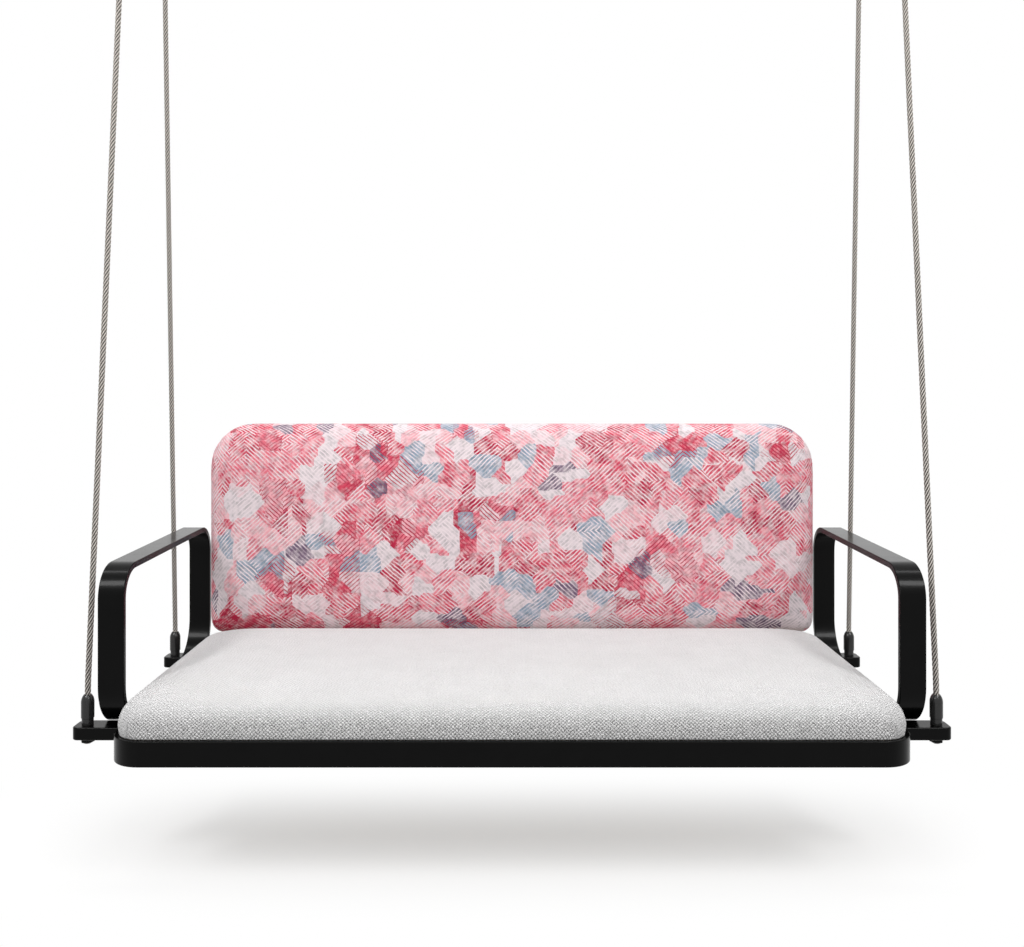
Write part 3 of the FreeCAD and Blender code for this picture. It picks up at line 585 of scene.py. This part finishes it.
def spline_points(route):
    """Points along the smooth spline that has the route's points as its control points."""
    curve = bpy.data.curves.new("route", "CURVE")
    curve.dimensions = "3D"
    curve.resolution_u = route_resolution
    spline = curve.splines.new("NURBS")
    spline.points.add(len(route) - 1)
    for point, place in zip(spline.points, route):
        point.co = (*place, 1)
    spline.order_u = 3
    spline.use_endpoint_u = True
    holder = bpy.data.objects.new("route", curve)
    bpy.context.scene.collection.objects.link(holder)
    mesh = bpy.data.meshes.new_from_object(holder)
    points = [vertex.co.copy() for vertex in mesh.vertices]
    bpy.data.meshes.remove(mesh)
    bpy.data.objects.remove(holder)
    bpy.data.curves.remove(curve)
    return points


def even_points(points, step):
    """Points at even steps along a line of points."""
    lengths = [0.0]
    for first, second in zip(points, points[1:]):
        lengths.append(lengths[-1] + (second - first).length)
    count = round(lengths[-1] / step)
    found = []
    index = 0
    for number in range(count + 1):
        goal = lengths[-1] * number / count
        while index < len(points) - 2 and lengths[index + 1] < goal:
            index += 1
        span = lengths[index + 1] - lengths[index]
        found.append(points[index].lerp(points[index + 1], (goal - lengths[index]) / span))
    return found


def strand_outline(radius):
    """Outline of a ring of touching strands: (x, y, place across the strand) per point."""
    strand_radius = radius / (1 + 1 / math.sin(math.pi / rope_strands))
    centre_radius = radius - strand_radius
    reach = math.pi / 2 + math.pi / rope_strands
    outline = []
    for strand in range(rope_strands):
        middle = 2 * math.pi * strand / rope_strands
        for step in range(strand_steps):
            share = step / strand_steps
            turn = middle + reach * (2 * share - 1)
            x = centre_radius * math.cos(middle) + strand_radius * math.cos(turn)
            y = centre_radius * math.sin(middle) + strand_radius * math.sin(turn)
            outline.append((x, y, share))
    return outline


def rope_ring(outline, place, along, twist):
    """The strands' outline round one place on the rope's line, turned by the lay."""
    side = (Vector((1, 0, 0)) - along * along.x).normalized()
    up = along.cross(side)
    ring = []
    for x, y, _ in outline:
        turned_x = x * math.cos(twist) - y * math.sin(twist)
        turned_y = x * math.sin(twist) + y * math.cos(twist)
        ring.append(place + side * turned_x + up * turned_y)
    return ring


def make_rope(name, route):
    """Wire rope: strands laid round the route's spline, one closed mesh, and the line it follows."""
    line = even_points(spline_points(route), rope_ring_step)
    outline = strand_outline(rope_diameter / 2)
    rings = []
    for index, place in enumerate(line):
        before = line[max(index - 1, 0)]
        after = line[min(index + 1, len(line) - 1)]
        twist = 2 * math.pi * index * rope_ring_step / rope_lay
        rings.append(rope_ring(outline, place, (after - before).normalized(), twist))
    rope = new_mesh(name, *skin(rings))
    lay_places = []
    for ring in range(len(rings) - 1):
        near = ring * rope_ring_step / rope_lay
        far = (ring + 1) * rope_ring_step / rope_lay
        for _, _, left in outline:
            right = left + 1 / strand_steps
            lay_places += [(left, near), (right, near), (right, far), (left, far)]
    cap_place = (0.5, 0.0)
    lay_places += [cap_place] * (2 * len(outline))
    layer = rope.data.uv_layers.new(name="lay")
    layer.data.foreach_set("uv", [value for place in lay_places for value in place])
    return rope, line


def add_ropes(look):
    """The four ropes, each from its terminal up into its fork."""
    for end, route in rope_routes.items():
        for side_name, side in SIDES.items():
            corner = "_%s_%s" % (end, side_name)
            own_route = [(x * side, y, z) for x, y, z in route]
            rope, line = make_rope("wire_rope" + corner, own_route)
            rope.data.materials.append(look)
            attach(rope, "swing_seat")
            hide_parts("rope" + corner)


# Cushions

def seat_rings():
    """Rings of the crowned seat cushion, from below its foot up."""
    half_width = seat_high.x + remesh_loss
    front = seat_low.y - remesh_loss
    rear = seat_high.y + remesh_loss
    height = seat_high.z - seat_low.z
    rings = []
    for rise_share, draw_share in seat_profile_shares:
        draw = seat_crown_run * draw_share
        rear_draw = seat_rear_run * draw_share
        radius = seat_radius * (rear - front - draw - rear_draw) / (rear - front)
        z = seat_low.z + height * rise_share
        radii = [radius] * 4
        outline = ring_points(half_width - draw, front + draw, rear - rear_draw, radii, seat_crown_run)
        rings.append([(x, y, z) for x, y in outline])
    skirt = [(x, y, z - 2 * voxel) for x, y, z in rings[0]]
    return [skirt, *rings]


def back_outline(draw, step):
    """Outline of the back cushion, drawn in all round, as (x, z) points."""
    full_height = back_high.z - back_low.z
    share = (full_height - 2 * draw) / full_height
    lower = back_bottom_radius * share
    upper = back_top_radius * share
    radii = [lower, lower, upper, upper]
    return ring_points(back_high.x - draw, back_low.z + draw, back_high.z - draw, radii, step)


def back_rings():
    """Rings of the crowned back cushion from its front back."""
    rings = []
    for depth_share, draw_share in back_profile_shares:
        y = back_low.y + (back_high.y - back_low.y) * depth_share
        outline = back_outline(back_crown_run * draw_share - remesh_loss, back_crown_run)
        rings.append([(x, y, z) for x, z in reversed(outline)])
    return rings


def shown_mesh(piece):
    """The piece's mesh with its modifiers carried out."""
    depsgraph = bpy.context.evaluated_depsgraph_get()
    return bpy.data.meshes.new_from_object(piece.evaluated_get(depsgraph))


def take_shape(piece):
    """Carry out the piece's modifiers and remove them."""
    mesh = shown_mesh(piece)
    piece.modifiers.clear()
    old = piece.data
    piece.data = mesh
    bpy.data.meshes.remove(old)


def places_of(mesh):
    """A mesh's points as an array."""
    flat = numpy.empty(len(mesh.vertices) * 3)
    mesh.vertices.foreach_get("co", flat)
    return flat.reshape(-1, 3)


def normals_of(mesh):
    """A mesh's point normals as an array."""
    flat = numpy.empty(len(mesh.vertices) * 3)
    mesh.vertex_normals.foreach_get("vector", flat)
    return flat.reshape(-1, 3)


def even_out(mesh, values, rounds):
    """A value per point, brought towards its neighbours' mean for some rounds."""
    ends = numpy.empty(len(mesh.edges) * 2, dtype=numpy.int32)
    mesh.edges.foreach_get("vertices", ends)
    first, second = ends.reshape(-1, 2).T
    neighbours = numpy.bincount(ends, minlength=len(values))
    for number in range(rounds):
        total = numpy.bincount(first, values[second], len(values))
        total += numpy.bincount(second, values[first], len(values))
        values = (values + total / neighbours) / 2
    return values


def swell_cloth(piece, facing):
    """Blow up the face of a closed mesh as cloth under pressure, outward and levelling off at the cap.

    The foam inside keeps the sides and the rear where they are.
    """
    remesh = piece.modifiers.new("even", "REMESH")
    remesh.mode = "VOXEL"
    remesh.voxel_size = voxel
    smooth = piece.modifiers.new("smooth", "SMOOTH")
    smooth.iterations = smoothing_rounds
    take_shape(piece)
    start = places_of(piece.data)
    normals = normals_of(piece.data)
    fixed = normals @ numpy.array(facing) < face_share
    group = piece.vertex_groups.new(name="held")
    group.add(numpy.flatnonzero(fixed).tolist(), 1.0, "REPLACE")
    cloth = piece.modifiers.new("cloth", "CLOTH")
    cloth.settings.vertex_group_mass = group.name
    cloth.settings.use_pressure = True
    cloth.settings.uniform_pressure_force = cloth_pressure
    cloth.settings.effector_weights.gravity = 0
    cloth.point_cache.frame_start = 1
    cloth.point_cache.frame_end = swell_frames
    for number in range(1, swell_frames + 1):
        bpy.context.scene.frame_set(number)
    swollen = shown_mesh(piece)
    rise = ((places_of(swollen) - start) * normals).sum(axis=1).clip(0)
    rise = swell_cap * numpy.tanh(rise / swell_cap)
    rise[fixed] = 0
    rise = even_out(piece.data, rise, swell_rounds)
    rise[fixed] = 0
    bpy.data.meshes.remove(swollen)
    piece.modifiers.clear()
    piece.vertex_groups.clear()
    bpy.context.scene.frame_set(1)
    piece.data.vertices.foreach_set("co", (start + normals * rise[:, None]).ravel())
    piece.data.update()


def refine(piece):
    """Divide every face once, smoothly."""
    divide = piece.modifiers.new("divide", "SUBSURF")
    divide.levels = 1
    take_shape(piece)
    piece.data.shade_smooth()


def lay_cloth(piece, axes, face_place):
    """UV layer of the cloth in metres: flat on the face, turned down over the edges by their depth."""
    across, up, deep = axes
    mesh = piece.data
    places = places_of(mesh)
    normals = normals_of(mesh)
    depth = numpy.abs(places[:, deep] - face_place)
    slant = normals[:, across] ** 2 + normals[:, up] ** 2
    calm = 0.01
    u = places[:, across] + depth * normals[:, across] * numpy.abs(normals[:, across]) / (slant + calm)
    v = places[:, up] + depth * normals[:, up] * numpy.abs(normals[:, up]) / (slant + calm)
    corners = numpy.empty(len(mesh.loops), dtype=int)
    mesh.loops.foreach_get("vertex_index", corners)
    layer = mesh.uv_layers.new(name="cloth")
    layer.data.foreach_set("uv", numpy.stack([u, v], axis=1)[corners].ravel())


def dress_cushion(piece, look, nodes):
    piece.data.materials.clear()
    piece.data.materials.append(look)
    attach(piece, "swing_seat")
    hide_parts(*nodes)


def cut_off(piece, place, outward):
    """Take off what lies beyond a plane and close the cut."""
    work = bmesh.new()
    work.from_mesh(piece.data)
    everything = work.verts[:] + work.edges[:] + work.faces[:]
    bmesh.ops.bisect_plane(work, geom=everything, plane_co=place, plane_no=outward, clear_outer=True)
    border = [edge for edge in work.edges if edge.is_boundary]
    bmesh.ops.holes_fill(work, edges=border, sides=0)
    work.to_mesh(piece.data)
    work.free()


def add_seat_cushion(look):
    """The seat's cover and foam as one crowned cushion on the deck."""
    cushion = new_mesh("seat_cushion", *skin(seat_rings()))
    swell_cloth(cushion, (0, 0, 1))
    refine(cushion)
    cut_off(cushion, seat_low, (0, 0, -1))
    lay_cloth(cushion, (0, 1, 2), seat_high.z)
    dress_cushion(cushion, look, ("seat_cover", "seat_foam"))


def hem_rows():
    """Rows of the back cover's hem, from under the cushion's edge round the board and onto its rear."""
    depth = back_high.y - back_low.y
    shares, draws = zip(*back_profile_shares)
    cut_share = (board_low.y - back_low.y) / depth
    cut_draw = back_crown_run * numpy.interp(cut_share, shares, draws)
    rear_draw = back_crown_run * draws[-1]
    middle_share = (1 + cut_share) / 2
    middle_draw = back_crown_run * numpy.interp(middle_share, shares, draws)
    rear = back_high.y
    return (
        (board_low.y - hem_tuck, cut_draw + hem_tuck),
        (board_low.y, cut_draw),
        (back_low.y + depth * middle_share, middle_draw),
        (rear - hem_thickness / 2, rear_draw),
        (rear + hem_thickness / 2, rear_draw + hem_thickness / 2),
        (rear + hem_thickness, rear_draw + 2 * hem_thickness),
        (rear + hem_thickness, rear_draw + hem_width),
        (rear, rear_draw + hem_width + hem_thickness),
    )


def at_upright(x, z):
    """Whether a place on the hem's lower run lies behind an upright."""
    if z > (back_low.z + back_high.z) / 2:
        return False
    low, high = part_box("back_upright_right")
    return low.x - hem_notch_margin < abs(x) < high.x + hem_notch_margin


def make_hem():
    """The cover's hem, notched where the uprights lie against the board."""
    first_turned_row = 3
    rows = hem_rows()
    rings = []
    for y, draw in rows:
        rings.append([(x, y, z) for x, z in reversed(back_outline(draw, hem_step))])
    count = len(rings[0])
    notch = {spot for spot, (x, y, z) in enumerate(rings[-1]) if at_upright(x, z)}
    points = [point for ring in rings for point in ring]
    faces = []
    for row in range(len(rows) - 1):
        skipped = notch if row >= first_turned_row else ()
        faces += ring_faces(row * count, (row + 1) * count, count, skipped)
    return new_mesh("back_hem", points, faces)


def join(piece, other):
    """Add another piece's mesh to a piece and remove that other piece."""
    work = bmesh.new()
    work.from_mesh(piece.data)
    work.from_mesh(other.data)
    work.to_mesh(piece.data)
    work.free()
    bpy.data.meshes.remove(other.data)
    piece.data.shade_smooth()


def add_back_cushion(look):
    """The back's cover and foam as one crowned cushion, with its hem round the board."""
    cushion = new_mesh("back_cushion", *skin(back_rings()))
    swell_cloth(cushion, (0, -1, 0))
    refine(cushion)
    cut_off(cushion, board_low, (0, 1, 0))
    join(cushion, make_hem())
    lay_cloth(cushion, (0, 2, 1), back_low.y)
    dress_cushion(cushion, look, ("back_cover", "back_foam"))


def staple_rings(place, along):
    """Rings of one staple on the board's rear: a flat wire whose legs go in through the hem."""
    side = Vector((-along.z, 0, along.x))
    out = Vector((0, 1, 0))
    half = staple_length / 2
    path = ((-half, -hem_thickness), (-half, staple_rise), (half, staple_rise), (half, -hem_thickness))
    rings = []
    for reach, rise in path:
        inner_reach = math.copysign(half - staple_rise, reach)
        inner_rise = min(rise, 0.0)
        outer = place + along * reach + out * rise
        inner = place + along * inner_reach + out * inner_rise
        half_side = side * (staple_width / 2)
        rings.append([outer - half_side, outer + half_side, inner + half_side, inner - half_side])
    return rings


def add_staples(look):
    """Staples along the hem, except at the uprights."""
    rear_draw = back_crown_run * back_profile_shares[-1][1]
    hem_rear = back_high.y + hem_thickness
    hem_middle = back_outline(rear_draw + hem_width / 2, hem_step)
    outline = [Vector((x, hem_rear, z)) for x, z in hem_middle]
    line = even_points(outline + outline[:1], staple_pitch)
    points = []
    faces = []
    for index in range(len(line) - 1):
        place = line[index]
        reaches = (abs(place.x) - staple_length, abs(place.x) + staple_length)
        if any(at_upright(x, place.z) for x in reaches):
            continue
        along = (line[index + 1] - line[index - 1 if index else -2]).normalized()
        own_points, own_faces = skin(staple_rings(place, along))
        faces += [tuple(len(points) + corner for corner in face) for face in own_faces]
        points += own_points
    staples = new_mesh("back_staples", points, faces)
    staples.data.shade_flat()
    staples.data.materials.append(look)
    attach(staples, "swing_seat")


# Stage, light and camera

def add_area(name, place, target, size, power):
    """Rectangular lamp that points at a target."""
    lamp = bpy.data.lights.new(name, "AREA")
    lamp.shape = "RECTANGLE"
    lamp.size, lamp.size_y = size
    lamp.energy = power
    holder = bpy.data.objects.new(name, lamp)
    holder.location = place
    holder.rotation_euler = (Vector(target) - Vector(place)).to_track_quat("-Z", "Y").to_euler()
    holder.visible_camera = False
    bpy.context.scene.collection.objects.link(holder)


def backdrop_rays(nodes):
    """One for rays that should see the white background: camera, glossy and transmission rays."""
    path = nodes.add("LightPath").outputs
    seen = nodes.math("MAXIMUM", path["Is Camera Ray"], path["Is Glossy Ray"])
    return nodes.math("MAXIMUM", seen, path["Is Transmission Ray"])


def add_world():
    """Even white light behind a white backdrop."""
    world = bpy.data.worlds.new("studio")
    bpy.context.scene.world = world
    world.use_nodes = True
    nodes = Nodes(world.node_tree)
    light = nodes.tree.nodes["Background"]
    nodes.put(light.inputs["Color"], white)
    nodes.put(light.inputs["Strength"], world_strength)
    backdrop = nodes.add("Background", {"Color": white, "Strength": 1.0})
    shown = nodes.add("MixShader", {0: backdrop_rays(nodes), 1: light.outputs[0], 2: backdrop.outputs[0]})
    nodes.show("World Output", shown.outputs[0])


def floor_look():
    """Pale floor that keeps the shadow near the object and fades into the white backdrop further out."""
    look = Surface("floor")
    look.tree.nodes.remove(look.shader)
    rays = backdrop_rays(look)
    diffuse = look.add("BsdfDiffuse", {"Color": floor_shade}).outputs[0]
    glow = look.add("Emission", {"Strength": look.math("MULTIPLY", rays, floor_glow)}).outputs[0]
    near = look.add("AddShader", {0: diffuse, 1: glow}).outputs[0]
    place = look.add("TexCoord").outputs["Object"]
    across, ahead = look.split(look.vector_math("DIVIDE", place, (shadow_half_width, shadow_half_depth, 1)))
    blunt = look.add("CombineXYZ", {"X": look.math("POWER", across, 2.0), "Y": ahead}).outputs["Vector"]
    distance = look.add("VectorMath", {0: blunt}, operation="LENGTH").outputs["Value"]
    fade = look.add("MapRange", {"Value": distance}, interpolation_type="SMOOTHSTEP").outputs["Result"]
    far = look.add("Emission", {"Strength": 1.0}).outputs[0]
    shown = look.add("MixShader", {0: look.math("MULTIPLY", fade, rays), 1: near, 2: far})
    look.show("Material Output", shown.outputs[0])
    return look.material


def add_floor():
    """Floor below the seat, its shadow's middle a little ahead of the seat's."""
    corners = [(x * floor_half, y * floor_half, 0) for x, y in ((-1, -1), (1, -1), (1, 1), (-1, 1))]
    floor = new_mesh("floor", corners, [(0, 1, 2, 3)])
    floor.location = (0, (rim_low.y + rim_high.y) / 2 - shadow_ahead, rim_high.z - floor_below)
    floor.data.materials.append(floor_look())


def add_camera():
    """Camera level with the horizon of the photograph and shifted to its frame."""
    camera = bpy.data.cameras.new("camera")
    camera.sensor_width = sensor_width
    camera.lens = focal_pixels * sensor_width / image_width
    camera.shift_y = (horizon_row - image_height / 2) / image_width
    holder = bpy.data.objects.new("camera", camera)
    holder.location = (0, rim_low.y - camera_ahead, rim_high.z + camera_above)
    holder.rotation_euler = (math.radians(90), 0, 0)
    bpy.context.scene.collection.objects.link(holder)
    bpy.context.scene.camera = holder


def light_scene():
    """World, floor and lamps."""
    add_world()
    add_floor()
    for name, lamp in lamps.items():
        add_area(name, **lamp)
    bpy.context.scene.view_settings.view_transform = "Standard"


def dress_nodes(looks):
    """Give every node the finish of its slot, or paint."""
    for part in frame["record"]["subparts"]:
        slot = "black_paint" if part["node"] in painted_nodes else part["material_slot"]
        mesh = frame["nodes"][part["node"]].data
        mesh.materials.clear()
        mesh.materials.append(looks[slot])


looks = {
    "black_paint": black_paint(),
    "dark_steel": dark_steel(),
    "zinc_steel": zinc_steel(),
    "black_steel": black_steel(),
    "wire_rope": wire_rope(),
    "plywood": plywood(),
    "bronze": bronze(),
    "seat_fabric": seat_fabric(),
    "back_fabric": back_fabric(),
}
looks["foam"] = looks["seat_fabric"]
add_camera()
light_scene()
dress_nodes(looks)
add_ropes(looks["wire_rope"])
add_seat_cushion(looks["seat_fabric"])
add_back_cushion(looks["back_fabric"])
add_staples(looks["zinc_steel"])
